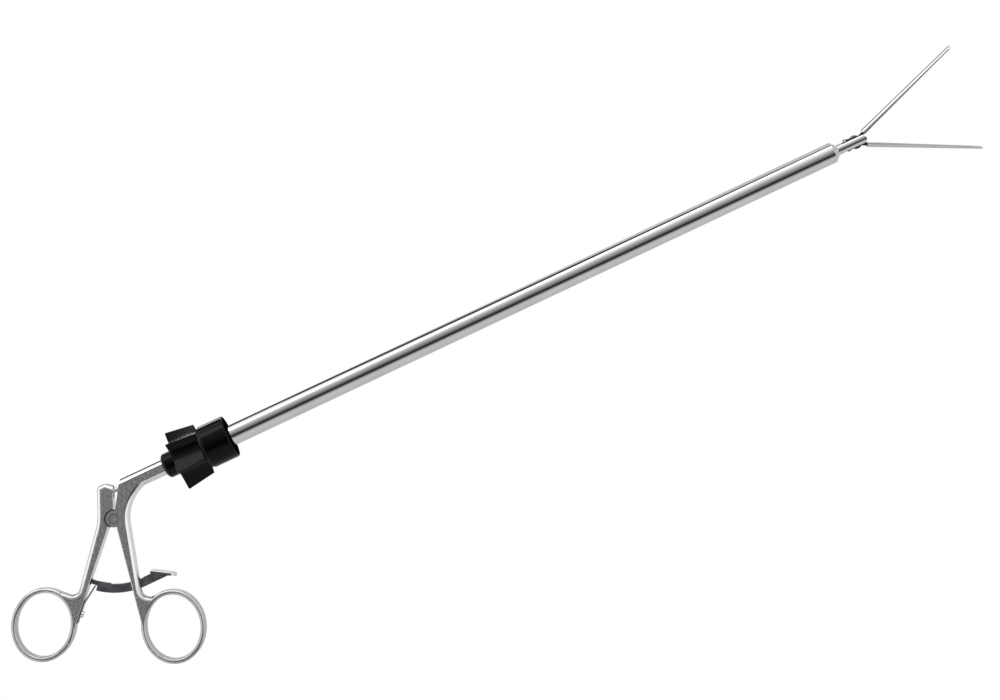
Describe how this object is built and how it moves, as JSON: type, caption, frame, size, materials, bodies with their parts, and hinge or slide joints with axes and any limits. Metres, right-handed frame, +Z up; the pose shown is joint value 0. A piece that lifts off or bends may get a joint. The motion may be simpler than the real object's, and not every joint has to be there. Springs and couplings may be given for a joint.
{
  "type": "laparoscopic grasper",
  "caption": "Long surgical grasper: finger-ring handles with a ratchet pull a rod through a rotating tube to close long slender jaws.",
  "frame": {"origin": "on the shaft's axis, at the front face of the collar where the bare tube starts", "axes": "+X along the shaft to the jaws, +Z up away from the finger rings, Y across the flat handles"},
  "size_m": [0.5221, 0.0276, 0.1105],
  "materials": {
    "handle_steel": "satin",
    "shaft_steel": "polished",
    "jaw_steel": "fine satin",
    "rod_steel": "ground",
    "fastener_steel": "turned",
    "black_steel": "blackened",
    "plate_steel": "polished",
    "spring_steel": "blued",
    "black_plastic": "gloss",
    "dark_plastic": "matt",
    "bearing_plastic": "waxy",
    "seal_rubber": "matt"
  },
  "bodies": {
    "handle": {"fixed_handle": "handle_steel", "pivot_screw": "fastener_steel", "pawl_tooth": "black_steel", "neck_nut": "black_plastic", "rod_bush": "bearing_plastic", "retaining_ring": "fastener_steel"},
    "lever": {"moving_handle": "handle_steel", "ratchet_pin": "fastener_steel", "leaf_spring": "spring_steel", "spring_screw": "fastener_steel"},
    "ratchet": {"ratchet_bar": "black_steel", "release_plate": "plate_steel"},
    "shaft": {"rotation_knob": "black_plastic", "spacer_ring": "dark_plastic", "collar": "black_plastic", "bearing_bush": "bearing_plastic", "outer_tube": "shaft_steel", "seal_carrier": "bearing_plastic", "rod_seal": "seal_rubber", "rod_guide_1": "bearing_plastic", "rod_guide_2": "bearing_plastic", "rod_guide_3": "bearing_plastic", "nose_cone": "shaft_steel", "clevis": "shaft_steel", "jaw_pin": "shaft_steel"},
    "rod": {"drive_rod": "rod_steel", "rod_ball": "rod_steel", "rod_tongue": "rod_steel", "drive_pin": "rod_steel"},
    "upper_jaw": {"upper_jaw": "jaw_steel"},
    "lower_jaw": {"lower_jaw": "jaw_steel"}
  },
  "joints": [
    {"name": "shaft_spin", "type": "hinge", "parent": "handle", "child": "shaft", "pos_m": [0, 0, 0], "axis": [1, 0, 0], "continuous": true},
    {"name": "lever_hinge", "type": "hinge", "parent": "handle", "child": "lever", "pos_m": [-0.0667, 0, -0.012], "axis": [0, -1, 0], "range_deg": [0, 14]},
    {"name": "ratchet_hinge", "type": "hinge", "parent": "lever", "child": "ratchet", "pos_m": [-0.09033, 0, -0.03373], "axis": [0, -1, 0], "range_deg": [-3.5, 0], "stiffness_Nm_per_rad": 0.05, "springref_deg": 8.59},
    {"name": "rod_slide", "type": "slide", "parent": "shaft", "child": "rod", "axis": [-1, 0, 0], "range_m": [0, 0.00296]},
    {"name": "upper_jaw_hinge", "type": "hinge", "parent": "shaft", "child": "upper_jaw", "pos_m": [0.3286, 0, 0], "axis": [0, 0.9659, 0.2588], "range_deg": [0, 20.6]},
    {"name": "lower_jaw_hinge", "type": "hinge", "parent": "shaft", "child": "lower_jaw", "pos_m": [0.3286, 0, 0], "axis": [0, -0.9659, -0.2588], "range_deg": [0, 27.2]}
  ],
  "couplings": [
    {"joint": "rod_slide", "follows": "lever_hinge", "m_per_rad": 0.012092},
    {"joint": "upper_jaw_hinge", "follows": "lever_hinge", "ratio": 1.4714},
    {"joint": "lower_jaw_hinge", "follows": "lever_hinge", "ratio": 1.9429}
  ]
}
